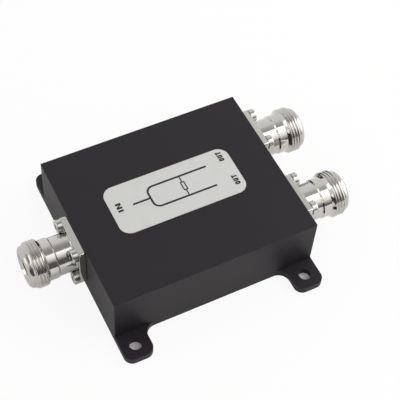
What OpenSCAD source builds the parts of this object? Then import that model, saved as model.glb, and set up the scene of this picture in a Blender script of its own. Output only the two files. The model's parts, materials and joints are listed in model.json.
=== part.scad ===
// Two-way radio-frequency power splitter in a milled aluminium box.
// One threaded coaxial socket feeds the board inside, two more carry the halves away.
// Millimetres, +Z up, base on z = 0, the single input on the -X face.

/* [Housing] */
// length of the milled box along X
body_l = 72; // [70:1:90]
// width of the milled box along Y
body_w = 60; // [58:1:78]
// height of the milled box
body_h = 22; // [21.5:0.5:30]
// thickness of the side walls
wall_t = 5; // [4:0.5:7]
// thickness of the roof above the board
roof_t = 3; // [2:0.5:4.5]
// radius of the four upright edges
edge_r = 0.4; // [0.2:0.1:1.5]
// radius of the edges round the top face
top_r = 0.3; // [0.2:0.1:0.8]
// corner radius that the milling cutter leaves inside
cut_r = 1.5; // [1:0.5:2.5]
// height of the socket axes above the base
axis_h = 12.6; // [11.4:0.1:12.8]

/* [Mounting ears] */
// reach of an ear beyond the side wall
ear_l = 10; // [9:0.5:15]
// width of an ear along X
ear_w = 10; // [9:0.5:15]
// thickness of an ear
ear_t = 2.6; // [2:0.1:3]
// radius of the two outer corners of an ear
ear_r = 3; // [1:0.2:4.4]
// hollow radius where an ear runs into the box
ear_fillet = 4; // [1:0.5:6]
// clearance hole for an M4 screw
ear_hole_d = 4.2; // [3.2:0.1:5.3]
// hole centre to the end of the ear
ear_hole_edge = 5; // [4:0.5:6]

/* [Base cover] */
// rim of the box left round the cover
rim_t = 3; // [2:0.5:3.5]
// thickness of the cover plate
cover_t = 1.5; // [1.4:0.1:2.4]
// gap round the cover and below it
cover_gap = 0.1; // [0.05:0.05:0.3]
// corner post length along X
post_l = 7; // [6:0.5:9]
// thread of a cover screw
cover_screw_d = 2.5; // [2:0.1:2.6]
// length of a cover screw under its face
cover_screw_l = 8; // [6:0.5:10]
// countersunk head of a cover screw
cover_head_d = 4.7; // [4.4:0.1:5]
// straight rim of that head
cover_head_rim = 0.15; // [0.05:0.05:0.25]

/* [Label] */
// label length along X
label_l = 45.4; // [30:0.2:60]
// label width along Y
label_w = 19.4; // [14:0.2:36]
// label thickness
label_t = 0.2; // [0.1:0.05:0.4]
// label corner radius
label_r = 3.8; // [1:0.2:6]
// label centre along X
label_x = 0; // [-4:0.1:4]
// label centre along Y
label_y = 1.6; // [-4:0.1:4]

/* [Sockets] */
// distance between the two output axes
out_pitch = 30.5; // [29:0.25:33]
// side of the square flange
flange_s = 16.5; // [16.4:0.1:17.6]
// flange thickness
flange_t = 2.4; // [1.8:0.1:3]
// corner radius of the flange
flange_r = 0.8; // [0.4:0.1:1.5]
// spacing of the four flange screws
hole_pitch = 12.7; // [12.6:0.1:12.8]
// body face to the front of the socket
socket_l = 18.4; // [17.4:0.2:20]
// plain barrel next to the flange
barrel_d = 13.1; // [12.4:0.1:13.2]
// body face to the groove between barrel and collar
groove_at = 8.1; // [7.4:0.1:9]
// width of that groove
groove_w = 0.6; // [0.3:0.1:0.8]
// depth of groove and relief below the barrel
groove_depth = 0.4; // [0.2:0.1:0.6]
// collar between groove and thread
collar_d = 13.8; // [13.4:0.1:14.4]
// width of the relief behind the thread
relief_w = 0.7; // [0.4:0.1:0.9]
// outside of the coupling thread
thread_d = 15.875; // [15.5:0.005:16]
// length of the coupling thread
thread_l = 4; // [3.6:0.1:4.6]
// chamfer at both ends of the thread
thread_c = 0.3; // [0.2:0.05:0.4]
// plain pilot in front of the thread
pilot_d = 14.4; // [14:0.1:15.2]
// length of the plain pilot
pilot_l = 2.2; // [1.8:0.1:2.6]
// rounding of the pilot's front edge
front_r = 1.6; // [0.8:0.1:1.7]
// mouth of the socket
mouth_d = 8.1; // [8:0.05:8.4]
// chamfer of the mouth
mouth_c = 0.5; // [0.3:0.1:0.8]
// depth of the mouth
mouth_depth = 9; // [8.5:0.1:9.5]
// bore that holds the insulator
seat_d = 7; // [6.6:0.1:7.4]
// flange metal left behind the insulator
seat_back = 1; // [0.8:0.1:1.4]

/* [Flange screws] */
// thread of a flange screw
screw_d = 2.5; // [2:0.1:2.6]
// free play of a flange screw in its flange hole
screw_play = 0.3; // [0.1:0.1:0.5]
// metal left behind a tapped hole in the wall
blind_t = 0.5; // [0.4:0.1:1]
// head diameter
head_d = 4.6; // [4.2:0.1:4.7]
// head height
head_h = 2; // [1.6:0.1:2.4]
// rounding of the head
head_r = 0.5; // [0.3:0.1:0.8]
// span of the driver cross, also in the cover screws
cross_l = 2.4; // [2:0.1:2.6]
// width of an arm of the cross
cross_w = 0.5; // [0.3:0.1:0.7]
// depth of the cross
cross_depth = 0.8; // [0.5:0.1:1]

/* [Centre line] */
// outside of the slotted contact
contact_d = 3.04; // [2.8:0.02:3.2]
// bore of the slotted contact
contact_bore_d = 1.65; // [1.5:0.05:1.8]
// contact front behind the front of the socket
contact_recess = 5; // [4.8:0.1:5.3]
// chamfer at the contact's front
tip_c = 0.2; // [0.1:0.05:0.4]
// width of the two crossed slots
slot_w = 0.3; // [0.2:0.05:0.4]
// full contact left behind its bore
bore_floor = 0.5; // [0.3:0.1:1]
// full contact left behind its slots
slot_floor = 1; // [0.8:0.1:2]
// neck of the contact inside the insulator
neck_d = 2.2; // [1.9:0.1:2.5]
// length of that neck
neck_l = 4; // [3:0.5:5]
// pin through the wall
pin_d = 1.3; // [1.1:0.1:1.6]
// pin length inside the box
tail_l = 4; // [3.5:0.5:5]
// height above the axis of the flat on the pin
tail_flat = 0.3; // [0.1:0.1:0.5]
// full pin left between wall and flat
tail_root = 0.2; // [0.1:0.1:0.4]
// insulator round the pin in the wall
nose_d = 4.3; // [3.8:0.1:4.8]
// insulator front behind the floor of the mouth
insulator_recess = 0.5; // [0.3:0.1:1]

/* [Board] */
// board thickness
board_t = 1.5; // [0.8:0.1:2]
// free gap round the board
board_gap = 0.5; // [0.3:0.1:0.8]
// bare board beyond an output line
board_margin = 1.1; // [0.8:0.1:1.5]
// copper thickness
copper_t = 0.1; // [0.05:0.05:0.2]
// width of the input and output lines
line_w = 3; // [2.4:0.1:3.2]
// mean radius of one ring section
ring_r = 6.5; // [6:0.1:7]
// width of a ring section
ring_w = 1.2; // [1:0.1:1.6]
// slot between the two halves
split_w = 1.8; // [1.4:0.1:2]
// centre of the middle ring along X
chain_x = -0.5; // [-1:0.1:0.5]
// length of an isolation resistor
chip_l = 3.2; // [3:0.1:3.6]
// width of an isolation resistor
chip_w = 1.6; // [1.2:0.1:2]
// height of an isolation resistor
chip_h = 0.6; // [0.4:0.1:0.8]
// solder round a pin
solder_t = 0.45; // [0.3:0.05:0.6]
// solder beyond the end of a pin
solder_tip = 0.6; // [0.4:0.1:0.8]
// bare pin between wall and solder
solder_back = 1; // [0.8:0.1:1.5]

/* [Board fixing] */
// thread of a board screw
board_screw_d = 2; // [1.6:0.1:2.2]
// length of a board screw in its boss
board_screw_l = 3.5; // [3:0.1:3.8]
// head diameter of a board screw
board_head_d = 3.8; // [3.4:0.1:4.2]
// head height of a board screw
board_head_h = 1.3; // [1.1:0.1:1.6]
// span of the driver cross in a board screw
board_cross_l = 2; // [1.6:0.1:2.2]
// free play of a board screw in the board
board_play = 0.3; // [0.1:0.1:0.5]
// boss under the roof
boss_d = 6; // [5:0.5:7]
// first pair of bosses to the input end of the board
boss_in_x = 6.5; // [6:0.1:7]
// first pair of bosses to the sides of the board
boss_in_y = 5.5; // [5:0.1:6]
// second pair of bosses to the output end of the board
boss_out_x = 4.5; // [4.2:0.1:4.8]
// second pair of bosses inwards from the output axes
boss_out_y = 8.9; // [8.4:0.1:9.4]

/* [Hidden] */
// sliding clearance on a radius
fit = 0.02;
// free depth beyond the tip of a screw
tip_gap = 0.3;
// overlap of shapes that are cut or joined
eps = 0.05;
half_l = body_l / 2;
half_w = body_w / 2;
roof_z = body_h - roof_t;
cover_z = cover_gap + cover_t;
arm_half = out_pitch / 2 + line_w / 2 + board_margin + board_gap;
cavity_l = body_l - 2 * wall_t;
cavity_w = body_w - 2 * wall_t;
post_w = cavity_w / 2 - arm_half;
post_x = cavity_l / 2 - post_l / 2;
post_y = cavity_w / 2 - post_w / 2;
ear_x = half_l - ear_w / 2;
ear_y = half_w + ear_l - ear_hole_edge;
ear_root = 2 * edge_r;
flange_hole_d = screw_d + screw_play;
tapped_l = wall_t - blind_t;
grip_l = tapped_l - tip_gap;
pilot_x = socket_l - pilot_l;
thread_x = pilot_x - thread_l;
relief_x = thread_x - relief_w;
mouth_x = socket_l - mouth_depth;
contact_x = socket_l - contact_recess;
insulator_x = mouth_x - insulator_recess;
neck_x = insulator_x - neck_l;
tail_x = -wall_t - tail_l;
copper_z = axis_h + tail_flat;
board_z = copper_z + copper_t;
board_top = board_z + board_t;
board_l = cavity_l - 2 * board_gap;
board_w = 2 * (arm_half - board_gap);
node_x0 = chain_x - 3 * ring_r;
node_x1 = chain_x - ring_r;
node_x2 = chain_x + ring_r;
node_x3 = chain_x + 3 * ring_r;
feed_x = node_x3 + line_w / 2 - ring_w / 2;
boss_x0 = boss_in_x - board_l / 2;
boss_y0 = board_w / 2 - boss_in_y;
boss_x1 = board_l / 2 - boss_out_x;
boss_y1 = out_pitch / 2 - boss_out_y;
black = [0.045, 0.045, 0.05];
nickel = [0.72, 0.71, 0.68];
steel = [0.66, 0.66, 0.66];
gold = [0.83, 0.66, 0.32];
white = [0.93, 0.93, 0.91];
pale = [0.82, 0.82, 0.80];
laminate = [0.16, 0.36, 0.22];
copper = [0.80, 0.50, 0.32];
chip = [0.12, 0.12, 0.13];
tin = [0.75, 0.75, 0.77];
$fn = 64;

// flat rectangle with rounded corners, centred
module plate_2d(l, w, r) {
    square([l - 2 * r, w], center = true);
    square([l, w - 2 * r], center = true);
    for (sx = [-1, 1])
        for (sy = [-1, 1])
            translate([sx * (l / 2 - r), sy * (w / 2 - r)])
                circle(r);
}

// stands a socket shape, drawn outwards along +X from x = 0, on the input face
module at_input() {
    translate([-half_l, 0, axis_h])
        rotate([0, 0, 180])
            children();
}

// the same on the output face, side +1 is the far one
module at_output(side) {
    translate([half_l, side * out_pitch / 2, axis_h])
        children();
}

// a turned shape along +X
module turned() {
    rotate([0, 90, 0])
        rotate_extrude()
            children();
}

// a round bar along +X
module bar(x0, x1, d) {
    translate([x0, 0, 0])
        rotate([0, 90, 0])
            cylinder(h = x1 - x0, d = d);
}

// the four flange screw places
module at_flange_holes() {
    for (sy = [-1, 1])
        for (sz = [-1, 1])
            translate([0, sy * hole_pitch / 2, sz * hole_pitch / 2])
                children();
}

// the four cover screw places
module at_posts() {
    for (sx = [-1, 1])
        for (sy = [-1, 1])
            translate([sx * post_x, sy * post_y, 0])
                children();
}

// the four board screw places
module at_bosses() {
    for (sy = [-1, 1]) {
        translate([boss_x0, sy * boss_y0, 0])
            children();
        translate([boss_x1, sy * boss_y1, 0])
            children();
    }
}

// one ear seen from above, at the +X +Y corner, with its hollow fillet
module ear_2d() {
    ear_in = half_l - ear_w;
    translate([ear_in, half_w - ear_root])
        square([ear_w, ear_l + ear_root - ear_r]);
    translate([ear_in + ear_r, half_w])
        square([ear_w - 2 * ear_r, ear_l]);
    translate([ear_in + ear_r, half_w + ear_l - ear_r])
        circle(ear_r);
    translate([half_l - ear_r, half_w + ear_l - ear_r])
        circle(ear_r);
    difference() {
        translate([ear_in - ear_fillet, half_w - eps])
            square([ear_fillet + eps, ear_fillet + eps]);
        translate([ear_in - ear_fillet, half_w + ear_fillet])
            circle(ear_fillet);
    }
}

// side view of the box with its rounded top edges
module profile_2d(l) {
    translate([-l / 2, 0])
        square([l, body_h - top_r]);
    translate([-l / 2 + top_r, 0])
        square([l - 2 * top_r, body_h]);
    for (s = [-1, 1])
        translate([s * (l / 2 - top_r), body_h - top_r])
            circle(top_r);
}

module box_block() {
    intersection() {
        linear_extrude(height = body_h)
            plate_2d(body_l, body_w, edge_r);
        translate([0, half_w, 0])
            rotate([90, 0, 0])
                linear_extrude(height = body_w)
                    profile_2d(body_l);
        translate([-half_l, 0, 0])
            rotate([90, 0, 90])
                linear_extrude(height = body_l)
                    profile_2d(body_w);
    }
}

// the hollow inside, leaving a post in each corner for a cover screw
module cavity() {
    translate([0, 0, -eps])
        linear_extrude(height = roof_z + eps) {
            plate_2d(cavity_l, 2 * arm_half, cut_r);
            plate_2d(cavity_l - 2 * post_l, cavity_w, cut_r);
        }
}

// holes of one socket in its wall
module wall_holes() {
    bar(-wall_t - eps, eps, nose_d + 2 * fit);
    at_flange_holes()
        bar(-tapped_l, eps, screw_d + 2 * fit);
}

module housing() {
    color(black)
        difference() {
            union() {
                difference() {
                    union() {
                        box_block();
                        linear_extrude(height = ear_t)
                            for (sx = [0, 1])
                                for (sy = [0, 1])
                                    mirror([sx, 0])
                                        mirror([0, sy])
                                            ear_2d();
                    }
                    cavity();
                }
                at_bosses()
                    translate([0, 0, board_top])
                        cylinder(h = roof_z - board_top + eps, d = boss_d);
            }
            translate([0, 0, -eps])
                linear_extrude(height = cover_z + eps)
                    plate_2d(body_l - 2 * rim_t, body_w - 2 * rim_t, cut_r);
            at_posts()
                cylinder(h = cover_gap + cover_screw_l + tip_gap, d = cover_screw_d + 2 * fit);
            at_bosses()
                translate([0, 0, board_top - eps])
                    cylinder(h = board_screw_l + tip_gap + eps, d = board_screw_d + 2 * fit);
            for (sx = [-1, 1])
                for (sy = [-1, 1])
                    translate([sx * ear_x, sy * ear_y, -eps])
                        cylinder(h = ear_t + 2 * eps, d = ear_hole_d);
            at_input()
                wall_holes();
            at_output(1)
                wall_holes();
            at_output(-1)
                wall_holes();
        }
}

// countersunk head over its shank, face at z = 0
module sunk_2d() {
    head = cover_head_d / 2;
    shank = cover_screw_d / 2;
    polygon([[0, 0], [head, 0], [head, cover_head_rim], [shank, head - shank + cover_head_rim],
        [shank, cover_screw_l], [0, cover_screw_l]]);
}

module base_cover() {
    color(black)
        difference() {
            translate([0, 0, cover_gap])
                linear_extrude(height = cover_t)
                    plate_2d(body_l - 2 * rim_t - 2 * cover_gap, body_w - 2 * rim_t - 2 * cover_gap,
                        cut_r - cover_gap);
            at_posts()
                translate([0, 0, cover_gap])
                    rotate_extrude()
                        sunk_2d();
        }
}

// crossed driver recess, cut upwards from z = 0
module cross_recess(span) {
    for (turn = [0, 90])
        rotate([0, 0, turn])
            translate([-span / 2, -cross_w / 2, -eps])
                cube([span, cross_w, cross_depth + eps]);
}

module cover_screws() {
    color(steel)
        at_posts()
            translate([0, 0, cover_gap])
                difference() {
                    rotate_extrude()
                        sunk_2d();
                    cross_recess(cross_l);
                }
}

module label() {
    color(pale)
        translate([label_x, label_y, body_h])
            linear_extrude(height = label_t)
                plate_2d(label_l, label_w, label_r);
}

module circuit_board() {
    color(laminate)
        difference() {
            translate([0, 0, board_z])
                linear_extrude(height = board_t)
                    plate_2d(board_l, board_w, cut_r - board_gap);
            at_bosses()
                translate([0, 0, board_z - eps])
                    cylinder(h = board_t + 2 * eps, d = board_screw_d + board_play);
        }
}

// one ring section of the divider
module ring_2d(x) {
    translate([x, 0])
        difference() {
            circle(ring_r + ring_w / 2);
            circle(ring_r - ring_w / 2);
        }
}

module copper_track() {
    feed_end = out_pitch / 2 + line_w / 2;
    color(copper)
        translate([0, 0, copper_z])
            linear_extrude(height = copper_t) {
                translate([-board_l / 2, -line_w / 2])
                    square([node_x0 + board_l / 2, line_w]);
                difference() {
                    union() {
                        ring_2d(node_x0 + ring_r);
                        ring_2d(chain_x);
                        ring_2d(node_x3 - ring_r);
                    }
                    translate([node_x0 + ring_w, -split_w / 2])
                        square([node_x3 - node_x0 + ring_w, split_w]);
                }
                for (sy = [0, 1])
                    mirror([0, sy]) {
                        translate([feed_x - line_w / 2, split_w / 2])
                            square([line_w, feed_end - split_w / 2]);
                        translate([feed_x - line_w / 2, feed_end - line_w])
                            square([board_l / 2 - feed_x + line_w / 2, line_w]);
                    }
            }
}

module isolation_resistors() {
    color(chip)
        for (x = [node_x1, node_x2, feed_x])
            translate([x - chip_w / 2, -chip_l / 2, copper_z - chip_h])
                cube([chip_w, chip_l, chip_h]);
}

module board_screws() {
    color(steel)
        at_bosses()
            translate([0, 0, board_z - board_head_h])
                difference() {
                    union() {
                        cylinder(h = board_head_h, d = board_head_d);
                        cylinder(h = board_head_h + board_t + board_screw_l, d = board_screw_d);
                    }
                    cross_recess(board_cross_l);
                }
}

// solder round a pin, flat where it meets the track
module solder() {
    from = tail_x - solder_tip;
    to = -wall_t - solder_back;
    d = pin_d + 2 * solder_t;
    difference() {
        bar(from, to, d);
        bar(tail_x, to + eps, pin_d);
        translate([from - eps, -d, tail_flat])
            cube([to - from + 2 * eps, 2 * d, d]);
    }
}

module solder_joints() {
    color(tin) {
        at_input()
            solder();
        at_output(1)
            solder();
        at_output(-1)
            solder();
    }
}

// quarter of a disc that rounds an outer corner
module quarter_2d(r) {
    intersection() {
        circle(r);
        square(r);
    }
}

// half section of the shell's turned outside, drawn up the Z axis
module shell_2d() {
    br = barrel_d / 2;
    gr = br - groove_depth;
    cr = collar_d / 2;
    tr = thread_d / 2;
    pr = pilot_d / 2;
    groove_end = groove_at + groove_w;
    polygon([[0, seat_back], [br, seat_back], [br, groove_at], [gr, groove_at], [gr, groove_end],
        [cr, groove_end], [cr, relief_x], [gr, relief_x], [gr, thread_x], [tr - thread_c, thread_x],
        [tr, thread_x + thread_c], [tr, pilot_x - thread_c], [tr - thread_c, pilot_x], [pr, pilot_x],
        [pr, socket_l - front_r], [pr - front_r, socket_l - front_r], [pr - front_r, socket_l],
        [0, socket_l]]);
    translate([pr - front_r, socket_l - front_r])
        quarter_2d(front_r);
}

// half section of the insulator seat and the mouth in front of it
module bore_2d() {
    mr = mouth_d / 2;
    polygon([[0, seat_back], [seat_d / 2, seat_back], [seat_d / 2, mouth_x], [mr, mouth_x],
        [mr, socket_l - mouth_c], [mr + mouth_c + eps, socket_l + eps], [0, socket_l + eps]]);
}

module shell() {
    color(nickel)
        difference() {
            union() {
                turned()
                    shell_2d();
                rotate([90, 0, 90])
                    linear_extrude(height = flange_t)
                        plate_2d(flange_s, flange_s, flange_r);
            }
            turned()
                bore_2d();
            bar(-eps, seat_back + eps, nose_d + 2 * fit);
            at_flange_holes()
                bar(-eps, flange_t + eps, flange_hole_d);
        }
}

// half section of the bead in its seat and its nose through the wall
module insulator_2d() {
    seat = seat_d / 2 - fit;
    neck = neck_d / 2 + fit;
    pin = pin_d / 2 + fit;
    polygon([[pin, -wall_t], [nose_d / 2, -wall_t], [nose_d / 2, seat_back], [seat, seat_back],
        [seat, insulator_x], [neck, insulator_x], [neck, neck_x], [pin, neck_x]]);
}

module insulator() {
    color(white)
        turned()
            insulator_2d();
}

// half section of the contact: pin, neck and bored front
module contact_2d() {
    bore = contact_bore_d / 2;
    bore_x = insulator_x + bore_floor;
    polygon([[0, tail_x], [pin_d / 2, tail_x], [pin_d / 2, neck_x], [neck_d / 2, neck_x],
        [neck_d / 2, insulator_x], [contact_d / 2, insulator_x], [contact_d / 2, contact_x - tip_c],
        [contact_d / 2 - tip_c, contact_x], [bore, contact_x], [bore, bore_x], [0, bore_x]]);
}

module contact() {
    slot_x = insulator_x + slot_floor;
    color(gold)
        difference() {
            turned()
                contact_2d();
            for (turn = [0, 90])
                rotate([turn, 0, 0])
                    translate([slot_x, -contact_d, -slot_w / 2])
                        cube([contact_x - slot_x + eps, contact_d * 2, slot_w]);
            translate([tail_x - eps, -pin_d, tail_flat])
                cube([tail_l - tail_root + eps, pin_d * 2, pin_d]);
        }
}

// pan head with a rounded rim, over its shank
module pan_2d() {
    square([head_d / 2 - head_r, head_h]);
    square([head_d / 2, head_h - head_r]);
    translate([head_d / 2 - head_r, head_h - head_r])
        quarter_2d(head_r);
}

module flange_screws() {
    color(steel)
        at_flange_holes()
            translate([flange_t, 0, 0])
                difference() {
                    union() {
                        turned()
                            pan_2d();
                        bar(-flange_t - grip_l, eps, screw_d);
                    }
                    translate([head_h, 0, 0])
                        rotate([0, -90, 0])
                            cross_recess(cross_l);
                }
}

module input_shell() {
    at_input()
        shell();
}

module output_a_shell() {
    at_output(1)
        shell();
}

module output_b_shell() {
    at_output(-1)
        shell();
}

module input_insulator() {
    at_input()
        insulator();
}

module output_a_insulator() {
    at_output(1)
        insulator();
}

module output_b_insulator() {
    at_output(-1)
        insulator();
}

module input_contact() {
    at_input()
        contact();
}

module output_a_contact() {
    at_output(1)
        contact();
}

module output_b_contact() {
    at_output(-1)
        contact();
}

module input_flange_screws() {
    at_input()
        flange_screws();
}

module output_a_flange_screws() {
    at_output(1)
        flange_screws();
}

module output_b_flange_screws() {
    at_output(-1)
        flange_screws();
}

housing();
base_cover();
cover_screws();
label();
circuit_board();
copper_track();
isolation_resistors();
board_screws();
solder_joints();
input_shell();
output_a_shell();
output_b_shell();
input_insulator();
output_a_insulator();
output_b_insulator();
input_contact();
output_a_contact();
output_b_contact();
input_flange_screws();
output_a_flange_screws();
output_b_flange_screws();
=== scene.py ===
"""Looks of a two-way radio-frequency power splitter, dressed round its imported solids.

The frame holds every piece at its real size in metres, +Z up and base on z = 0. Sizes written in this
file are millimetres, unless a name or a comment says otherwise.
"""

import json
import logging
import math
from collections.abc import Callable, Iterable, Mapping, Sequence
from dataclasses import dataclass, field
from enum import Enum

import bmesh
import bpy
from mathutils import Matrix, Vector


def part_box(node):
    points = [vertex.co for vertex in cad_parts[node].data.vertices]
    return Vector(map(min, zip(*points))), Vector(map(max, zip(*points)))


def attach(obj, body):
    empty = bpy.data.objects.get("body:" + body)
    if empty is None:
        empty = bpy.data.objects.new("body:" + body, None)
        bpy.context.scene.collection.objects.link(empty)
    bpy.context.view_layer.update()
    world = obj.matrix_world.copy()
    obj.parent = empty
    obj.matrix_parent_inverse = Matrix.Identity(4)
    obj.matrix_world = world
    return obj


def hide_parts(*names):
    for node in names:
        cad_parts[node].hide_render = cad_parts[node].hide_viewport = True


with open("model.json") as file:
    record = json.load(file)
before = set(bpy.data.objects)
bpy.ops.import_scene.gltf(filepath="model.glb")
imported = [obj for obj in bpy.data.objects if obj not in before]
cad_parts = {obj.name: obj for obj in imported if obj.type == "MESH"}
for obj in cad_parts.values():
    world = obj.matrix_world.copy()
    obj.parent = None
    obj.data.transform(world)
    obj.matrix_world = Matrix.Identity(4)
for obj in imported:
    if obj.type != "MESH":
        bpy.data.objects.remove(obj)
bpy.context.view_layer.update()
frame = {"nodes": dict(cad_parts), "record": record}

MM = 0.001
# mesh attribute that says how much darker a plated surface is drawn, from nought to one
END_DARKENING = "end_darkening"
# sockets of a colour Mix node, whose names occur once for each kind of data
MIX_SHARE, MIX_FIRST, MIX_SECOND, MIX_RESULT = "0", "6", "7", 2
# radians that a wave texture turns through in one unit
WAVE_RATE = 20.0
# the corners of a square, in order round it
QUADRANTS = ((1, 1), (-1, 1), (-1, -1), (1, -1))
log = logging.getLogger("splitter")

Ring = list[bmesh.types.BMVert]
Point2 = tuple[float, float]
Point3 = tuple[float, float, float]
# x, y and the radius that rounds it
Corner = tuple[float, float, float]


class Slot(Enum):
    """The record's material slots."""

    BODY = "black_aluminium"
    NICKEL = "nickel_brass"
    STEEL = "steel_screws"
    LABEL = "label_foil"
    INSULATOR = "white_insulator"
    CONTACT = "gilt_contact"
    LAMINATE = "board_laminate"
    COPPER = "copper_foil"
    CHIP = "chip_ceramic"
    SOLDER = "solder"


def to_linear(colour: str) -> tuple[float, float, float, float]:
    """Turns an sRGB hex colour into linear light, by the curve of that standard.

    Args:
        colour: six hex digits after a hash sign.

    Returns:
        Red, green, blue and a full alpha.
    """
    parts = [int(colour[i:i + 2], 16) / 255 for i in (1, 3, 5)]
    linear = [p / 12.92 if p <= 0.04045 else ((p + 0.055) / 1.055) ** 2.4 for p in parts]
    return (linear[0], linear[1], linear[2], 1.0)


def per_metre(size: float) -> float:
    """Gives the texture scale that draws a feature of that many millimetres."""
    return 1.0 / (size * MM)


def add_node(tree: bpy.types.NodeTree, kind: str, settings: Mapping[str, object] | None = None,
             links: Mapping[str, bpy.types.NodeSocket] | None = None) -> bpy.types.Node:
    """Adds one node, sets its values and links its inputs.

    Args:
        tree: the node tree that gets the node.
        kind: the node's Blender type.
        settings: values for its inputs, by name or number, or else for its properties.
        links: the outputs that feed its inputs, by name or number.

    Returns:
        The new node.
    """
    node = tree.nodes.new(kind)
    for name, value in (settings or {}).items():
        if name.isdigit():
            node.inputs[int(name)].default_value = value
        elif name in node.inputs and not isinstance(value, (str, bool)):
            node.inputs[name].default_value = value
        else:
            setattr(node, name, value)
    for name, source in (links or {}).items():
        tree.links.new(source, node.inputs[int(name) if name.isdigit() else name])
    return node


@dataclass(frozen=True)
class Finish:
    """One real material and how its surface was made."""

    name: str
    colour: str
    roughness: float
    metallic: float = 0.0
    ior: float | None = None

    def build(self) -> bpy.types.Material:
        """Makes the material.

        Returns:
            The node material, with this finish's own pattern in it.
        """
        material = bpy.data.materials.new(self.name)
        material.use_nodes = True
        tree = material.node_tree
        shader = tree.nodes["Principled BSDF"]
        shader.inputs["Base Color"].default_value = to_linear(self.colour)
        shader.inputs["Roughness"].default_value = self.roughness
        shader.inputs["Metallic"].default_value = self.metallic
        if self.ior is not None:
            shader.inputs["IOR"].default_value = self.ior
        self.pattern(tree, shader)
        return material

    def pattern(self, tree: bpy.types.NodeTree, shader: bpy.types.Node) -> None:
        """Adds what the eye sees beyond one even colour; a plain finish adds nothing."""

    def tinted(self, tree: bpy.types.NodeTree, share: bpy.types.NodeSocket,
               other: str) -> bpy.types.NodeSocket:
        """Mixes the finish's colour with a second one.

        Args:
            tree: the material's node tree.
            share: how much of the second colour shows.
            other: the second colour, as sRGB hex.

        Returns:
            The mixed colour.
        """
        mix = add_node(tree, "ShaderNodeMix",
                       {"data_type": "RGBA", MIX_FIRST: to_linear(self.colour), MIX_SECOND: to_linear(other)},
                       {MIX_SHARE: share})
        return mix.outputs[MIX_RESULT]


@dataclass(frozen=True)
class BlastedAnodised(Finish):
    """Bead-blasted aluminium, anodised black: dark, satin and very finely grained."""

    bloom: str = "#231E23"
    cloud: float = 14.0
    cloud_detail: float = 3.0
    # the beads leave dimples of about 0.1 mm, drawn at 0.3 mm so that they show
    grain: float = 0.3
    grain_detail: float = 2.0
    gloss_drift: float = 0.05
    relief: float = 0.004
    relief_share: float = 0.5

    def pattern(self, tree: bpy.types.NodeTree, shader: bpy.types.Node) -> None:
        """Adds the blasted grain and the slight bloom of the dye.

        Args:
            tree: the material's node tree.
            shader: the shader that the pattern feeds.
        """
        place = add_node(tree, "ShaderNodeTexCoord")
        cloud = add_node(tree, "ShaderNodeTexNoise",
                         {"Scale": per_metre(self.cloud), "Detail": self.cloud_detail},
                         {"Vector": place.outputs["Object"]})
        tree.links.new(self.tinted(tree, cloud.outputs["Fac"], self.bloom), shader.inputs["Base Color"])
        grain = add_node(tree, "ShaderNodeTexNoise",
                         {"Scale": per_metre(self.grain), "Detail": self.grain_detail},
                         {"Vector": place.outputs["Object"]})
        gloss = add_node(tree, "ShaderNodeMapRange",
                         {"To Min": self.roughness - self.gloss_drift,
                          "To Max": self.roughness + self.gloss_drift},
                         {"Value": grain.outputs["Fac"]})
        tree.links.new(gloss.outputs["Result"], shader.inputs["Roughness"])
        bump = add_node(tree, "ShaderNodeBump", {"Strength": self.relief_share, "Distance": self.relief * MM},
                        {"Height": grain.outputs["Fac"]})
        tree.links.new(bump.outputs["Normal"], shader.inputs["Normal"])


@dataclass(frozen=True)
class TurnedPlate(Finish):
    """Turned metal under bright plating: sharp reflections drawn out by fine tool rings."""

    shade: str = "#C5C3BC"
    # the darker colour that the coupling end is drawn towards
    dark_end_colour: str = "#1C1A18"
    # the feed of the tool is about 0.05 mm a turn, drawn at six times that so that it shows
    feed: float = 0.316
    feed_wander: float = 0.6
    feed_detail: float = 2.0
    feed_detail_scale: float = 1.5
    relief: float = 0.0012
    relief_share: float = 0.35
    stain: float = 3.0
    stain_detail: float = 4.0
    gloss_gain: float = 0.03
    gloss_loss: float = 0.05

    def pattern(self, tree: bpy.types.NodeTree, shader: bpy.types.Node) -> None:
        """Adds the rings that the tool left round the X axis, a faint uneven gloss and the darker coupling
        end.

        Args:
            tree: the material's node tree.
            shader: the shader that the pattern feeds.
        """
        place = add_node(tree, "ShaderNodeTexCoord")
        rings = add_node(tree, "ShaderNodeTexWave",
                         {"bands_direction": "X", "Scale": per_metre(self.feed) * math.tau / WAVE_RATE,
                          "Distortion": self.feed_wander, "Detail": self.feed_detail,
                          "Detail Scale": self.feed_detail_scale},
                         {"Vector": place.outputs["Object"]})
        bump = add_node(tree, "ShaderNodeBump", {"Strength": self.relief_share, "Distance": self.relief * MM},
                        {"Height": rings.outputs["Fac"]})
        tree.links.new(bump.outputs["Normal"], shader.inputs["Normal"])
        stain = add_node(tree, "ShaderNodeTexNoise",
                         {"Scale": per_metre(self.stain), "Detail": self.stain_detail},
                         {"Vector": place.outputs["Object"]})
        # only the coupling ends are drawn darker, by the mesh attribute
        darkened_share = add_node(tree, "ShaderNodeAttribute", {"attribute_name": END_DARKENING})
        mix = add_node(tree, "ShaderNodeMix", {"data_type": "RGBA", MIX_SECOND: to_linear(self.dark_end_colour)},
                       {MIX_SHARE: darkened_share.outputs["Fac"],
                        MIX_FIRST: self.tinted(tree, stain.outputs["Fac"], self.shade)})
        tree.links.new(mix.outputs[MIX_RESULT], shader.inputs["Base Color"])
        gloss = add_node(tree, "ShaderNodeMapRange",
                         {"To Min": self.roughness - self.gloss_gain,
                          "To Max": self.roughness + self.gloss_loss},
                         {"Value": stain.outputs["Fac"]})
        tree.links.new(gloss.outputs["Result"], shader.inputs["Roughness"])


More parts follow.
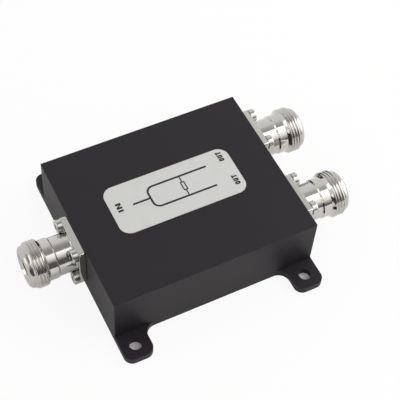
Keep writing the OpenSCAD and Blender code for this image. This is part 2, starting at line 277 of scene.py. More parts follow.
@dataclass(frozen=True)
class Mottled(Finish):
    """A surface whose colour drifts a little, with a fine tooth of its own."""

    second: str = "#FFFFFF"
    patch: float = 5.0
    patch_detail: float = 4.0
    # a real tooth is finer than 0.1 mm, drawn at 0.3 mm so that it shows
    tooth: float = 0.3
    tooth_detail: float = 2.0
    relief: float = 0.003
    relief_share: float = 0.4

    def pattern(self, tree: bpy.types.NodeTree, shader: bpy.types.Node) -> None:
        """Adds the drift of colour and the fine tooth.

        Args:
            tree: the material's node tree.
            shader: the shader that the pattern feeds.
        """
        place = add_node(tree, "ShaderNodeTexCoord")
        patch = add_node(tree, "ShaderNodeTexNoise",
                         {"Scale": per_metre(self.patch), "Detail": self.patch_detail},
                         {"Vector": place.outputs["Object"]})
        tree.links.new(self.tinted(tree, patch.outputs["Fac"], self.second), shader.inputs["Base Color"])
        tooth = add_node(tree, "ShaderNodeTexNoise",
                         {"Scale": per_metre(self.tooth), "Detail": self.tooth_detail},
                         {"Vector": place.outputs["Object"]})
        bump = add_node(tree, "ShaderNodeBump", {"Strength": self.relief_share, "Distance": self.relief * MM},
                        {"Height": tooth.outputs["Fac"]})
        tree.links.new(bump.outputs["Normal"], shader.inputs["Normal"])


@dataclass(frozen=True)
class WovenLaminate(Finish):
    """Glass cloth pressed in resin: a green board with a faint square weave."""

    yarn: str = "#3E6B4A"
    pitch: float = 0.5

    def pattern(self, tree: bpy.types.NodeTree, shader: bpy.types.Node) -> None:
        """Adds the crossing yarns, which show as a faint check.

        Args:
            tree: the material's node tree.
            shader: the shader that the pattern feeds.
        """
        place = add_node(tree, "ShaderNodeTexCoord")
        check = add_node(tree, "ShaderNodeTexChecker",
                         {"Scale": per_metre(self.pitch), "Color1": to_linear(self.colour),
                          "Color2": to_linear(self.yarn)},
                         {"Vector": place.outputs["Object"]})
        tree.links.new(check.outputs["Color"], shader.inputs["Base Color"])


# one finish for each slot, from what the real piece is made of
FINISHES: dict[Slot, Finish] = {
    # blasted and dyed oxide: near black, soft sheen at low angles
    Slot.BODY: BlastedAnodised("black_anodised_aluminium_blasted", "#1F1A1F", 0.5, ior=1.37),
    # nickel over turned brass: bright, slightly warm, streaks along the barrel
    Slot.NICKEL: TurnedPlate("nickel_plated_brass_turned", "#D8D6D0", 0.1, metallic=1.0),
    # cold-headed steel under nickel: duller than the turned shell
    Slot.STEEL: TurnedPlate("nickel_plated_steel_headed", "#CECECA", 0.17, metallic=1.0),
    # satin polyester foil: pale grey, even, soft sheen
    Slot.LABEL: Mottled("satin_polyester_foil", "#D3D3D0", 0.5, ior=1.5, second="#CCCCC8"),
    # turned fluoropolymer: waxy white
    Slot.INSULATOR: Mottled("fluoropolymer_turned", "#F0EFEA", 0.45, ior=1.38, second="#E4E3DC"),
    # gold flash over turned bronze: warm yellow, with fine bright rings
    Slot.CONTACT: TurnedPlate("gold_plated_bronze_turned", "#E8C36A", 0.2, metallic=1.0, shade="#CFA650"),
    # resin over glass cloth: green, half gloss, a faint weave
    Slot.LAMINATE: WovenLaminate("glass_cloth_laminate_pressed", "#2F5A3B", 0.45, ior=1.55),
    # etched foil, a little oxidised: uneven red brown with a soft shine
    Slot.COPPER: Mottled("copper_foil_etched", "#C98558", 0.3, metallic=1.0, second="#A86A44"),
    # fired alumina under a black glaze: dark, with a clear gloss
    Slot.CHIP: Mottled("alumina_glazed_fired", "#232325", 0.35, ior=1.7, second="#2E2E31", patch=1.0),
    # tin alloy, flowed: bright with a soft grain
    Slot.SOLDER: Mottled("tin_solder_flowed", "#C9CACC", 0.25, metallic=1.0, second="#B2B4B8", patch=1.0),
}
# screen-printed ink: matt, slightly brown black
INK = Mottled("screen_ink_printed", "#161714", 0.6, ior=1.5, second="#1E201C", patch=2.0)


class Paint:
    """Builds each finish once and puts it on pieces."""

    def __init__(self) -> None:
        """Builds every material."""
        self.slots = {slot: finish.build() for slot, finish in FINISHES.items()}
        self.ink = INK.build()

    def node(self, name: str, slot: Slot) -> None:
        """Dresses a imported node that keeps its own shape.

        Args:
            name: the node.
            slot: the finish that it gets.
        """
        for holder in frame["nodes"][name].material_slots:
            holder.material = self.slots[slot]
        log.info("dressed %s as %s", name, slot.value)

    def piece(self, piece: bpy.types.Object, slot: Slot, *replaced: str,
              material: bpy.types.Material | None = None) -> None:
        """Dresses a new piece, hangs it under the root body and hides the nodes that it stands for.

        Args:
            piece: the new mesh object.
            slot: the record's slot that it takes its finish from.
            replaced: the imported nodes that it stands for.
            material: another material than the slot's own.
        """
        piece.data.materials.clear()
        piece.data.materials.append(material or self.slots[slot])
        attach(piece, "root")
        if replaced:
            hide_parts(*replaced)
        log.info("built %s, %d faces", piece.name, len(piece.data.polygons))


def rounded_path(corners: Sequence[Corner], steps: int = 4, closed: bool = False) -> list[Point2]:
    """Draws a line through corners, each rounded to its own radius.

    Args:
        corners: x, y and radius of each corner.
        steps: how many chords an arc has.
        closed: whether the last corner joins the first.

    Returns:
        The points along the line.
    """
    points: list[Point2] = []
    count = len(corners)
    for i, (x, y, radius) in enumerate(corners):
        here = Vector((x, y))
        if radius <= 0 or (not closed and i in (0, count - 1)):
            points.append((x, y))
            continue
        before = (Vector(corners[i - 1][:2]) - here).normalized()
        after = (Vector(corners[(i + 1) % count][:2]) - here).normalized()
        half = before.angle(after) / 2
        centre = here + (before + after).normalized() * radius / math.sin(half)
        start = here + before * radius / math.tan(half) - centre
        turn = start.angle_signed(here + after * radius / math.tan(half) - centre)
        for k in range(steps + 1):
            spoke = start.copy()
            spoke.rotate(Matrix.Rotation(-turn * k / steps, 2))
            points.append(tuple(centre + spoke))
    return points


def rectangle(first: Point2, opposite: Point2) -> list[Point2]:
    """Draws a rectangle from one corner, along x first, round by the opposite corner."""
    return [first, (opposite[0], first[1]), opposite, (first[0], opposite[1])]


def rounded_rectangle(first: Point2, opposite: Point2, radius: float, steps: int) -> list[Point2]:
    """Draws a rectangle between two opposite corners, all four rounded to one radius."""
    return rounded_path([(x, y, radius) for x, y in rectangle(first, opposite)], steps, True)


def circle(radius: float, count: int, at: Point2 = (0.0, 0.0)) -> list[Point2]:
    """Draws a circle of so many points about a centre."""
    angles = [math.tau * i / count for i in range(count)]
    return [(at[0] + radius * math.cos(a), at[1] + radius * math.sin(a)) for a in angles]


class Shape:
    """Gathers the loops of a closed mesh and turns them into one piece."""

    SHARP = math.radians(42)

    def __init__(self, place: Callable[[float, float, float], Vector]) -> None:
        """Starts an empty shape.

        Args:
            place: turns the shape's own millimetres into the frame's metres.
        """
        self.bm = bmesh.new()
        self.place = place

    def ring(self, points: Iterable[Point3]) -> Ring:
        """Adds one loop of points and returns its vertices."""
        return [self.bm.verts.new(self.place(*p)) for p in points]

    def bridge(self, first: Ring, second: Ring) -> None:
        """Joins two loops of equal count with a band of faces.

        Args:
            first: the loop on one side of the band.
            second: the loop on its other side.
        """
        for i, vertex in enumerate(first):
            j = (i + 1) % len(first)
            self.bm.faces.new((vertex, first[j], second[j], second[i]))

    def loft(self, rings: Sequence[Ring]) -> None:
        """Joins each loop to the next one."""
        for first, second in zip(rings, rings[1:]):
            self.bridge(first, second)

    def cap(self, *loops: Ring) -> None:
        """Fills a flat face.

        Args:
            loops: the loop round the face, then the loops round its holes.
        """
        edges = []
        for loop in loops:
            for i, vertex in enumerate(loop):
                pair = (vertex, loop[(i + 1) % len(loop)])
                edges.append(self.bm.edges.get(pair) or self.bm.edges.new(pair))
        bmesh.ops.triangle_fill(self.bm, edges=edges, use_beauty=True)

    def slab(self, low: float, high: float, *outlines: Sequence[Point2]) -> None:
        """Adds a flat slab.

        Args:
            low: the height of its lower face.
            high: the height of its upper face.
            outlines: its own outline, then those of its holes.
        """
        below = [self.ring((x, y, low) for x, y in outline) for outline in outlines]
        above = [self.ring((x, y, high) for x, y in outline) for outline in outlines]
        for first, second in zip(below, above):
            self.bridge(first, second)
        self.cap(*below)
        self.cap(*above)

    def piece(self, name: str) -> bpy.types.Object:
        """Turns what was gathered into a smooth-shaded object.

        Args:
            name: the piece's name.

        Returns:
            The object, at the frame's origin.
        """
        bmesh.ops.recalc_face_normals(self.bm, faces=self.bm.faces)
        mesh = bpy.data.meshes.new(name)
        self.bm.to_mesh(mesh)
        self.bm.free()
        mesh.shade_smooth()
        mesh.set_sharp_from_angle(angle=self.SHARP)
        piece = bpy.data.objects.new(name, mesh)
        bpy.context.scene.collection.objects.link(piece)
        weight = piece.modifiers.new("flat faces stay flat", "WEIGHTED_NORMAL")
        weight.keep_sharp = True
        return piece


def in_frame(x: float, y: float, z: float) -> Vector:
    """Turns millimetres in the frame into metres."""
    return Vector((x, y, z)) * MM


@dataclass
class Housing:
    """The milled box with its ears, its base cover and the cover's screws."""

    paint: Paint
    weld: float = 0.001
    coplanar: float = math.radians(0.2)
    crease: float = math.radians(30)
    edge: float = 0.22
    edge_steps: int = 3
    # a half gives a round edge
    edge_profile: float = 0.5
    # how far the closed cavity reaches beyond the cover's outline, and above the cover
    cavity_margin: float = 1.0
    cavity_h: float = 18.0

    def build(self) -> None:
        """Builds the box with broken edges and dresses the cover."""
        self.paint.piece(self.box(), Slot.BODY, "housing")
        self.paint.node("base_cover", Slot.BODY)
        self.paint.node("cover_screws", Slot.STEEL)

    def box(self) -> bpy.types.Object:
        """Copies the milled solid and breaks its outer edges.

        Returns:
            The box.
        """
        low, high = (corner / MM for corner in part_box("base_cover"))
        shape = Shape(in_frame)
        bm = shape.bm
        bm.from_mesh(frame["nodes"]["housing"].data)
        bmesh.ops.remove_doubles(bm, verts=bm.verts, dist=self.weld * MM)
        bmesh.ops.dissolve_limit(bm, angle_limit=self.coplanar, verts=bm.verts, edges=bm.edges)
        outer = [edge for edge in bm.edges
                 if len(edge.link_faces) == 2 and edge.calc_face_angle() > self.crease
                 and self.outside(edge, low, high)]
        bmesh.ops.bevel(bm, geom=outer, offset=self.edge * MM, offset_type="OFFSET", segments=self.edge_steps,
                        profile=self.edge_profile, affect="EDGES", clamp_overlap=True)
        log.info("broke %d edges of the box", len(outer))
        return shape.piece("milled_box")

    def outside(self, edge: bmesh.types.BMEdge, low: Vector, high: Vector) -> bool:
        """Says whether an edge lies clear of the closed cavity, where a hand can reach it.

        Args:
            edge: an edge of the box.
            low: the cover's lowest corner.
            high: the cover's highest corner.

        Returns:
            True if neither of the edge's ends lies in the cavity.
        """
        gap = self.cavity_margin
        for vertex in edge.verts:
            x, y, z = vertex.co / MM
            over_cover = low.x - gap < x < high.x + gap and low.y - gap < y < high.y + gap
            if over_cover and z < high.z + self.cavity_h:
                return False
        return True


@dataclass(frozen=True)
class Legend:
    """One word printed beside a port: where its middle is, and the size of its letters."""

    word: str
    at: Point2
    letter_w: float
    stroke: float
    letter_gap: float


@dataclass
class Label:
    """The pale foil on the top face with its printed port legends and divider symbol."""

    paint: Paint
    ink_t: float = 0.02
    legends: tuple[Legend, ...] = (Legend("IN", (-19.55, 2.65), 2.3, 0.78, 0.44),
                                   Legend("OUT", (19.6, 7.95), 1.2, 0.52, 0.22),
                                   Legend("OUT", (20.15, -2.8), 1.2, 0.52, 0.22))
    cap_height: float = 1.9
    # share of the height at which the N's slanting stroke leaves its stems
    slant: float = 0.62
    # radius of the round letters, as a share of their width, and how much of a stroke it loses inside
    bowl: float = 0.45
    bowl_loss: float = 0.6
    bowl_steps: int = 5
    line: float = 0.7
    trunk_x: tuple[float, float] = (-15.0, -8.7)
    arm_x: float = 13.5
    arm_y: tuple[float, float] = (-2.2, 6.2)
    bend: float = 2.3
    bend_steps: int = 6
    # place along the arms, width and length of the resistor's box, and the width of its lines
    resistor: tuple[float, float, float] = (3.4, 1.6, 3.6)
    resistor_line: float = 0.42
    # height of the foil's face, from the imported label
    top: float = field(init=False)

    def __post_init__(self) -> None:
        """Finds the face that is printed on."""
        self.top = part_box("label")[1].z / MM

    def build(self) -> None:
        """Dresses the foil and prints on it."""
        self.paint.node("label", Slot.LABEL)
        self.paint.piece(self.port_legends(), Slot.LABEL, material=self.paint.ink)
        self.paint.piece(self.divider_symbol(), Slot.LABEL, material=self.paint.ink)

    def glyph(self, letter: str, w: float, t: float) -> tuple[float, list[list[Point2]]]:
        """Draws one capital letter.

        Args:
            letter: the capital.
            w: the width of a full letter.
            t: the width of its strokes.

        Returns:
            Its width, and its outlines: the outside first, then any hole.
        """
        h = self.cap_height
        if letter == "I":
            return t, [rectangle((0, 0), (t, h))]
        if letter == "N":
            rise, fall = h * self.slant, h * (1 - self.slant)
            return w, [[(0, 0), (t, 0), (t, rise), (w - t, 0), (w, 0), (w, h), (w - t, h), (w - t, fall),
                        (t, h), (0, h)]]
        if letter == "T":
            left, right = (w - t) / 2, (w + t) / 2
            return w, [[(left, 0), (right, 0), (right, h - t), (w, h - t), (w, h), (0, h), (0, h - t),
                        (left, h - t)]]
        outer = w * self.bowl
        inner = outer - t * self.bowl_loss
        if letter == "U":
            return w, [rounded_path([(0, h, 0), (0, 0, outer), (w, 0, outer), (w, h, 0), (w - t, h, 0),
                                     (w - t, t, inner), (t, t, inner), (t, h, 0)], self.bowl_steps, True)]
        return w, [rounded_rectangle((0, 0), (w, h), outer, self.bowl_steps),
                   rounded_rectangle((t, t), (w - t, h - t), inner, self.bowl_steps)]

    def port_legends(self) -> bpy.types.Object:
        """Prints the legends beside their ports, reading along +Y.

        Returns:
            The letters as one thin piece.
        """
        shape = Shape(in_frame)
        for legend in self.legends:
            glyphs = [self.glyph(letter, legend.letter_w, legend.stroke) for letter in legend.word]
            gaps = legend.letter_gap * (len(glyphs) - 1)
            centre_x, centre_y = legend.at
            start = centre_y - (sum(width for width, _ in glyphs) + gaps) / 2
            foot = centre_x + self.cap_height / 2
            for width, outlines in glyphs:
                turned = [[(foot - y, start + x) for x, y in outline] for outline in outlines]
                shape.slab(self.top, self.top + self.ink_t, *turned)
                start += width + legend.letter_gap
        return shape.piece("port_legends")

    def divider_symbol(self) -> bpy.types.Object:
        """Prints one line that forks into two, bridged by a resistor box.

        Returns:
            The symbol as one thin piece.
        """
        shape = Shape(in_frame)
        top = self.top + self.ink_t
        half, thin, end = self.line / 2, self.resistor_line, self.arm_x
        low, high = self.arm_y
        mid = (low + high) / 2
        start, fork_x = self.trunk_x
        left, right = fork_x - half, fork_x + half
        outer, inner = self.bend + half, self.bend - half
        fork = [(end, high + half, 0), (left, high + half, outer), (left, low - half, outer),
                (end, low - half, 0), (end, low + half, 0), (right, low + half, inner),
                (right, high - half, inner), (end, high - half, 0)]
        x, width, length = self.resistor
        x0, x1, y0, y1 = x - width / 2, x + width / 2, mid - length / 2, mid + length / 2
        shape.slab(self.top, top, rounded_path(fork, self.bend_steps, True))
        shape.slab(self.top, top, rectangle((start, mid - half), (left, mid + half)))
        shape.slab(self.top, top, rectangle((x0, y0), (x1, y1)),
                   rectangle((x0 + thin, y0 + thin), (x1 - thin, y1 - thin)))
        for foot, head in ((low + half, y0), (y1, high - half)):
            shape.slab(self.top, top, rectangle((x - thin / 2, foot), (x + thin / 2, head)))
        return shape.piece("divider_symbol")


@dataclass
class Socket:
    """One flanged coaxial socket: plated shell, insulator, contact and four flange screws.

    Places along the axis are measured outwards from the face that the flange sits on.
    """

    paint: Paint
    name: str
    flange_s: float = 16.5
    flange_t: float = 2.4
    flange_r: float = 0.8
    flange_edge: float = 0.25
    screw_pitch: float = 12.7
    screw_hole_d: float = 2.8
    nose_hole_d: float = 4.34
    root_fillet: float = 0.3
    barrel_d: float = 13.1
    groove_at: float = 8.1
    groove_d: float = 12.7
    collar_d: float = 13.8
    collar_r: float = 0.05
    relief_at: float = 11.5
    relief_d: float = 13.6
    # slope of the coned walls that face the box, against the axis
    back_slope: float = math.tan(math.radians(49))
    thread_d: float = 15.875
    thread_pitch: float = 25.4 / 24
    # angle between the thread's flanks and the axis
    flank: float = math.radians(60)
    crest_w: float = 0.5
    crest_r: float = 0.1
    root_r: float = 0.15
    pilot_at: float = 16.6
    pilot_d: float = 14.4
    front_at: float = 18.4
    front_r: float = 1.6
    mouth_d: float = 8.1
    mouth_c: float = 0.9
    mouth_at: float = 9.4
    seat_d: float = 7.0
    seat_at: float = 1.0
    # radii of the turned edges and of the corners in the grooves
    edge_r: float = 0.1
    nook_r: float = 0.03
    # how much darker the coupling end is drawn, from nought to one
    end_darkening: float = 0.12
    columns: int = 144
    thread_steps: int = 3
    front_steps: int = 8
    edge_steps: int = 4
    corner_steps: int = 5
    hole_steps: int = 32
    # which way along X the socket points, and its place in the frame
    out: float = field(init=False)
    face_x: float = field(init=False)
    axis_y: float = field(init=False)
    axis_z: float = field(init=False)
    # section of one turn of the thread, radius of its root, and where it starts
    turn: list[Point2] = field(init=False)
    root: float = field(init=False)
    thread_at: float = field(init=False)

    def __post_init__(self) -> None:
        """Takes the socket's place from its packed shell, and works out where its thread starts."""
        low, high = (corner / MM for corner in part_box(f"{self.name}_shell"))
        self.out = 1.0 if low.x + high.x > 0 else -1.0
        self.face_x = low.x if self.out > 0 else high.x
        self.axis_y = (low.y + high.y) / 2
        self.axis_z = (low.z + high.z) / 2
        self.turn = self.thread_turn()
        self.root = self.thread_d / 2 + min(drop for _, drop in self.turn)
        self.thread_at = self.relief_at + (self.root - self.relief_d / 2) / self.back_slope

    def build(self) -> None:
        """Builds the shell and dresses what sits in and on it."""
        self.paint.piece(self.shell(), Slot.NICKEL, f"{self.name}_shell")
        self.paint.node(f"{self.name}_insulator", Slot.INSULATOR)
        self.paint.node(f"{self.name}_contact", Slot.CONTACT)
        self.paint.node(f"{self.name}_flange_screws", Slot.STEEL)

    def place(self, along: float, across: float, up: float) -> Vector:
        """Turns a place on the socket into one in the frame, without mirroring it."""
        return in_frame(self.face_x + self.out * along, self.axis_y + self.out * across, self.axis_z + up)

    def thread_turn(self) -> list[Point2]:
        """Draws the section of one turn of the thread.

        Returns:
            Place along the axis and height below the crest, from the middle of one crest towards the next.
        """
        pitch, crest = self.thread_pitch, self.crest_w / 2
        depth = (pitch / 2 - crest) * math.tan(self.flank)
        corners = [(0, 0, 0), (crest, 0, self.crest_r), (pitch / 2, -depth, self.root_r),
                   (pitch - crest, 0, self.crest_r), (pitch, 0, 0)]
        return rounded_path(corners, self.thread_steps)[:-1]

    def outline(self) -> tuple[list[Point2], list[Point2]]:
        """Draws the turned section behind and before the thread.

        Returns:
            Place along the axis and radius, from the flange to the thread, and from the thread back to
            the wall.
        """
        barrel, groove = self.barrel_d / 2, self.groove_d / 2
        collar, relief = self.collar_d / 2, self.relief_d / 2
        pilot, mouth = self.pilot_d / 2, self.mouth_d / 2
        seat, nose = self.seat_d / 2, self.nose_hole_d / 2
        edge, nook = self.edge_r, self.nook_r
        collar_at = self.groove_at + (collar - groove) / self.back_slope
        back = [(self.flange_t, barrel + self.root_fillet, 0), (self.flange_t, barrel, self.root_fillet),
                (self.groove_at, barrel, edge), (self.groove_at, groove, nook), (collar_at, collar, edge),
                (self.relief_at, collar, self.collar_r), (self.relief_at, relief, nook),
                (self.thread_at, self.root, 0)]
        front = [(self.pilot_at, pilot, 0), (self.front_at, pilot, self.front_r),
                 (self.front_at, mouth + self.mouth_c, edge), (self.front_at - self.mouth_c, mouth, edge),
                 (self.mouth_at, mouth, 0), (self.mouth_at, seat, edge), (self.seat_at, seat, 0),
                 (self.seat_at, nose, 0), (0.0, nose, 0)]
        return rounded_path(back), rounded_path(front, self.front_steps)

    def thread(self, shape: Shape, start: Ring, end: Ring) -> None:
        """Winds the right-hand thread between two rings, its rows of faces along the helix.

        Args:
            shape: the shell that gets the thread.
            start: the ring behind the thread, at the root.
            end: the ring before it, on the pilot.
        """
        pitch, crest, pilot = self.thread_pitch, self.thread_d / 2, self.pilot_d / 2
        # one lap more at each end, which the two rings cut short
        laps = math.ceil((self.pilot_at - self.thread_at) / pitch) + 2
        columns: list[Ring] = []
        for i in range(self.columns):
            angle = math.tau * i / self.columns
            column: Ring = []
            for lap in range(laps):
                for step, drop in self.turn:
                    along = self.thread_at + (lap - 1 + i / self.columns) * pitch + step
                    behind, ahead = along - self.thread_at, self.pilot_at - along
                    if min(behind, ahead) < self.crest_r:
                        column.append(start[i] if behind < ahead else end[i])
                        continue
                    radius = min(crest + drop, self.root + behind * self.back_slope, pilot + ahead)
                    column += shape.ring([(along, radius * math.cos(angle), radius * math.sin(angle))])
            columns.append(column)
        # one turn round, the first column meets its own next lap
        columns.append(columns[0][len(self.turn):] + [end[0]] * len(self.turn))
        for left, right in zip(columns, columns[1:]):
            for j in range(len(left) - 1):
                corners = dict.fromkeys((left[j], left[j + 1], right[j + 1], right[j]))
                if len(corners) > 2:
                    shape.bm.faces.new(corners)

    def flange(self, shape: Shape, bore: Ring, barrel: Ring) -> None:
        """Adds the square flange with its rounded edges and four screw holes.

        Args:
            shape: the shell that gets the flange.
            bore: the ring where the bore ends, on the face that meets the wall.
            barrel: the ring where the barrel starts, on the outer face.
        """
        edge = self.flange_edge
        quarter = [math.pi / 2 * k / self.edge_steps for k in range(self.edge_steps + 1)]
        levels = [(edge * (1 - math.sin(a)), edge * (1 - math.cos(a))) for a in reversed(quarter)]
        levels += [(self.flange_t - along, inset) for along, inset in reversed(levels)]
        plate: list[Ring] = []
        for along, inset in levels:
            half, radius = self.flange_s / 2 - inset, self.flange_r - inset
            outline = rounded_rectangle((half, half), (-half, -half), radius, self.corner_steps)
            plate.append(shape.ring((along, y, z) for y, z in outline))
        shape.loft(plate)
        holes: list[list[Ring]] = []
        for y, z in QUADRANTS:
            centre = (y * self.screw_pitch / 2, z * self.screw_pitch / 2)
            outline = circle(self.screw_hole_d / 2, self.hole_steps, centre)
            holes.append([shape.ring((along, *p) for p in outline) for along in (0.0, self.flange_t)])
            shape.loft(holes[-1])
        shape.cap(plate[0], bore, *(hole[0] for hole in holes))
        shape.cap(plate[-1], barrel, *(hole[-1] for hole in holes))

    def shell(self) -> bpy.types.Object:
        """Builds flange and turned body as one closed mesh.

        Returns:
            The shell.
        """
        shape = Shape(self.place)
        end_darkening = shape.bm.verts.layers.float.new(END_DARKENING)
        angles = [math.tau * i / self.columns for i in range(self.columns)]
        back, front = ([shape.ring((along, radius * math.cos(a), radius * math.sin(a)) for a in angles)
                        for along, radius in part] for part in self.outline())
        shape.loft(back)
        shape.loft(front)
        self.thread(shape, back[-1], front[0])
        # the thread and the nose are drawn darker
        for vertex in shape.bm.verts:
            if self.out * (vertex.co.x / MM - self.face_x) > self.thread_at + self.crest_r:
                vertex[end_darkening] = self.end_darkening
        self.flange(shape, front[-1], back[0])
        return shape.piece(f"{self.name}_plated_shell")


@dataclass
class Inside:
    """The divider board that the closed box holds."""

    paint: Paint

    def build(self) -> None:
        """Dresses the board and all that is on it."""
        for name, slot in (("circuit_board", Slot.LAMINATE), ("copper_track", Slot.COPPER),
                           ("isolation_resistors", Slot.CHIP), ("board_screws", Slot.STEEL),
                           ("solder_joints", Slot.SOLDER)):
            self.paint.node(name, slot)


@dataclass(frozen=True)
class SoftBox:
    """A lit sheet of the stage, whose light falls off evenly along one direction."""

    name: str
    corners: tuple[Point3, Point3, Point3, Point3]
    bright: float
    dim: float
    along: Point3
    bright_at: float
    dim_at: float

    def build(self, sheet: bpy.types.Object) -> None:
        """Lights the sheet.

        Args:
            sheet: the sheet that shines; the camera doesn't see it.
        """
        material = bpy.data.materials.new(self.name)
        material.use_nodes = True
        tree = material.node_tree
        place = add_node(tree, "ShaderNodeTexCoord")
        reach = add_node(tree, "ShaderNodeVectorMath", {"operation": "DOT_PRODUCT", "1": self.along},
                         {"0": place.outputs["Object"]})
        level = add_node(tree, "ShaderNodeMapRange",
                         {"From Min": self.dim_at * MM, "From Max": self.bright_at * MM, "To Min": self.dim,
                          "To Max": self.bright}, {"Value": reach.outputs["Value"]})
        shine = add_node(tree, "ShaderNodeEmission", links={"Strength": level.outputs["Result"]})
        tree.links.new(shine.outputs["Emission"], tree.nodes["Material Output"].inputs["Surface"])
        sheet.data.materials.append(material)
        sheet.visible_camera = False


@dataclass
class Studio:
    """A white table in a white room, lit by sheets overhead, on the right, on the left and by the camera."""

    floor_size: float = 6000.0
    floor_drop: float = 0.03
    floor_colour: str = "#F7F7F5"
    floor_roughness: float = 0.8
    # how much of the table is plain white to the camera, and which share of that mirrors and glass see
    glow: float = 0.9
    mirrored_glow: float = 0.3
    # the table under each ear hole, which lies in shade
    patch_r: float = 3.5
    patch_steps: int = 32
    patch_glow: float = 0.04
    # sine of the height above the horizon, and how light the walls and the ceiling are there
    walls: tuple[Point2, ...] = ((0.25, 0.9), (0.76, 0.84), (0.92, 0.46), (1.0, 0.32))
    # overhead, fading towards the camera and the left
    overhead: SoftBox = SoftBox(
        "soft_box_overhead",
        ((-900.0, -850.0, 700.0), (900.0, -850.0, 700.0), (900.0, 240.0, 700.0), (-900.0, -640.0, 700.0)),
        bright=3.0, dim=0.2, along=(1.0, 1.08, 0.0), bright_at=600.0, dim_at=-913.0)
    # behind the camera, dim low down and on the left, so that the plating gets its dark band
    camera_side: SoftBox = SoftBox(
        "dim_camera_side",
        ((-1800.0, -850.0, 0.0), (1800.0, -850.0, 0.0), (1800.0, -850.0, 700.0), (-1800.0, -850.0, 700.0)),
        bright=1.3, dim=0.12, along=(1.0, 0.0, 0.75), bright_at=980.0, dim_at=483.0)
    # the key light on the right, out of sight of the plated barrels
    key: SoftBox = SoftBox(
        "key_right",
        ((1000.0, -1200.0, 150.0), (1000.0, 300.0, 150.0), (1000.0, 300.0, 1000.0),
         (1000.0, -1200.0, 1000.0)),
        bright=3.0, dim=3.0, along=(0.0, 0.0, 1.0), bright_at=1000.0, dim_at=150.0)
    # the window side, which the rounded front of the input socket mirrors
    window: SoftBox = SoftBox(
        "window_left",
        ((-1000.0, 0.0, 60.0), (-1000.0, 450.0, 60.0), (-1000.0, 450.0, 700.0), (-1000.0, 0.0, 700.0)),
        bright=1.8, dim=1.8, along=(0.0, 0.0, 1.0), bright_at=700.0, dim_at=60.0)

    def build(self) -> None:
        """Sets up the room, the table and the lit sheets."""
        bpy.context.scene.view_settings.view_transform = "Standard"
        self.room()
        self.table()
        for box in (self.overhead, self.camera_side, self.key, self.window):
            box.build(self.sheet(box.name, box.corners))

    def room(self) -> None:
        """Lights everything from white walls that grow darker overhead."""
        world = bpy.data.worlds.new("white_room")
        world.use_nodes = True
        bpy.context.scene.world = world
        tree = world.node_tree
        place = add_node(tree, "ShaderNodeTexCoord")
        axes = add_node(tree, "ShaderNodeSeparateXYZ", links={"Vector": place.outputs["Generated"]})
        ramp = add_node(tree, "ShaderNodeValToRGB", links={"Fac": axes.outputs["Z"]})
        stops = ramp.color_ramp.elements
        for at, _ in self.walls[1:-1]:
            stops.new(at)
        for stop, (at, level) in zip(stops, self.walls):
            stop.position = at
            stop.color = (level, level, level, 1.0)
        tree.links.new(ramp.outputs["Color"], tree.nodes["Background"].inputs["Color"])

    def table(self) -> None:
        """Lays the white table, and small sheets of it where the ear holes let the eye through."""
        half, low = self.floor_size / 2, -self.floor_drop
        floor = self.sheet("table", [(x, y, low) for x, y in rectangle((-half, -half), (half, half))])
        floor.data.materials.append(self.lacquer("white_table_lacquered", self.glow))
        shaded = self.lacquer("white_table_in_shade", self.patch_glow)
        holes = next(m for m in frame["record"]["mounts"] if m["name"] == "ear_holes")["dims"]
        for sx in (-1, 1):
            for sy in (-1, 1):
                centre = (sx * holes["spacing_x_mm"] / 2, sy * holes["spacing_y_mm"] / 2)
                outline = circle(self.patch_r, self.patch_steps, centre)
                patch = self.sheet(f"table_patch_{sx}_{sy}", [(x, y, low / 2) for x, y in outline])
                patch.data.materials.append(shaded)

    def lacquer(self, name: str, glow: float) -> bpy.types.Material:
        """Makes the table's white, which keeps the shadow and looks white in reflections too.

        Args:
            name: the material's name.
            glow: how much of it is plain white to the camera.

        Returns:
            The material.
        """
        material = bpy.data.materials.new(name)
        material.use_nodes = True
        tree = material.node_tree
        shader = tree.nodes["Principled BSDF"]
        shader.inputs["Base Color"].default_value = to_linear(self.floor_colour)
        shader.inputs["Roughness"].default_value = self.floor_roughness
        shader.inputs["Specular IOR Level"].default_value = 0.0
        path = add_node(tree, "ShaderNodeLightPath")
        bent = add_node(tree, "ShaderNodeMath", {"operation": "MAXIMUM"},
                        {"0": path.outputs["Is Glossy Ray"], "1": path.outputs["Is Transmission Ray"]})
        mirrored = add_node(tree, "ShaderNodeMath", {"operation": "MULTIPLY", "1": self.mirrored_glow},
                            {"0": bent.outputs[0]})
        seen = add_node(tree, "ShaderNodeMath", {"operation": "MAXIMUM"},
                        {"0": path.outputs["Is Camera Ray"], "1": mirrored.outputs[0]})
        share = add_node(tree, "ShaderNodeMath", {"operation": "MULTIPLY", "1": glow}, {"0": seen.outputs[0]})
        white = add_node(tree, "ShaderNodeEmission", {"Strength": 1.0})
        mix = add_node(tree, "ShaderNodeMixShader",
                       links={"Fac": share.outputs[0], "1": shader.outputs["BSDF"],
                              "2": white.outputs["Emission"]})
        tree.links.new(mix.outputs["Shader"], tree.nodes["Material Output"].inputs["Surface"])
        return material

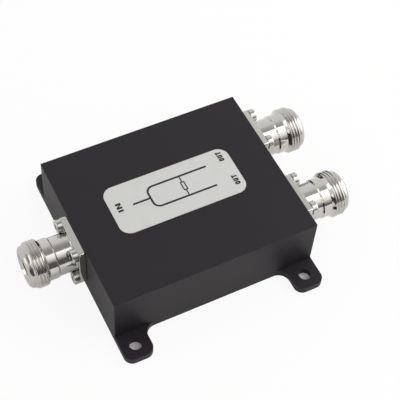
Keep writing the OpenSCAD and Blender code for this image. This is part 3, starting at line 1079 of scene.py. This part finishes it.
    @staticmethod
    def sheet(name: str, corners: Sequence[Point3]) -> bpy.types.Object:
        """Makes one flat sheet that belongs to the stage.

        Args:
            name: the sheet's name.
            corners: its corners in order.

        Returns:
            The sheet.
        """
        mesh = bpy.data.meshes.new(name)
        mesh.from_pydata([in_frame(*c) for c in corners], [], [tuple(range(len(corners)))])
        piece = bpy.data.objects.new(name, mesh)
        bpy.context.scene.collection.objects.link(piece)
        return piece


@dataclass
class ViewCamera:
    """The camera at the photograph's angle, fitted to the box's corners."""

    azimuth: float = math.radians(-30.251)
    elevation: float = math.radians(54.312)
    roll: float = math.radians(-4.667)
    # where the frame's origin lies as the camera sees it: ahead, to the right and down
    distance: float = 383.34
    origin_right: float = -8.435
    origin_down: float = 10.813
    lens: float = 100.556
    sensor: float = 36.0
    near: float = 10.0

    def build(self) -> None:
        """Makes the camera and looks through it."""
        az, el = self.azimuth, self.elevation
        ahead = Vector((-math.sin(az) * math.cos(el), math.cos(az) * math.cos(el), -math.sin(el)))
        level = Vector((math.cos(az), math.sin(az), 0.0))
        fall = ahead.cross(level)
        right = level * math.cos(self.roll) + fall * math.sin(self.roll)
        down = fall * math.cos(self.roll) - level * math.sin(self.roll)
        eye = -(right * self.origin_right + down * self.origin_down + ahead * self.distance)
        data = bpy.data.cameras.new("photo_view")
        data.lens = self.lens
        data.sensor_width = self.sensor
        data.clip_start = self.near * MM
        camera = bpy.data.objects.new("photo_view", data)
        bpy.context.scene.collection.objects.link(camera)
        turn = Matrix((right, -down, -ahead)).transposed().to_4x4()
        camera.matrix_world = Matrix.Translation(eye * MM) @ turn
        bpy.context.scene.camera = camera


def main() -> None:
    """Builds the view, the studio and each sub-assembly in order."""
    logging.basicConfig(level=logging.INFO, format="%(name)s: %(message)s")
    ViewCamera().build()
    Studio().build()
    paint = Paint()
    Housing(paint).build()
    Label(paint).build()
    for name in ("input", "output_a", "output_b"):
        Socket(paint, name).build()
    Inside(paint).build()


if __name__ == "__main__":
    main()
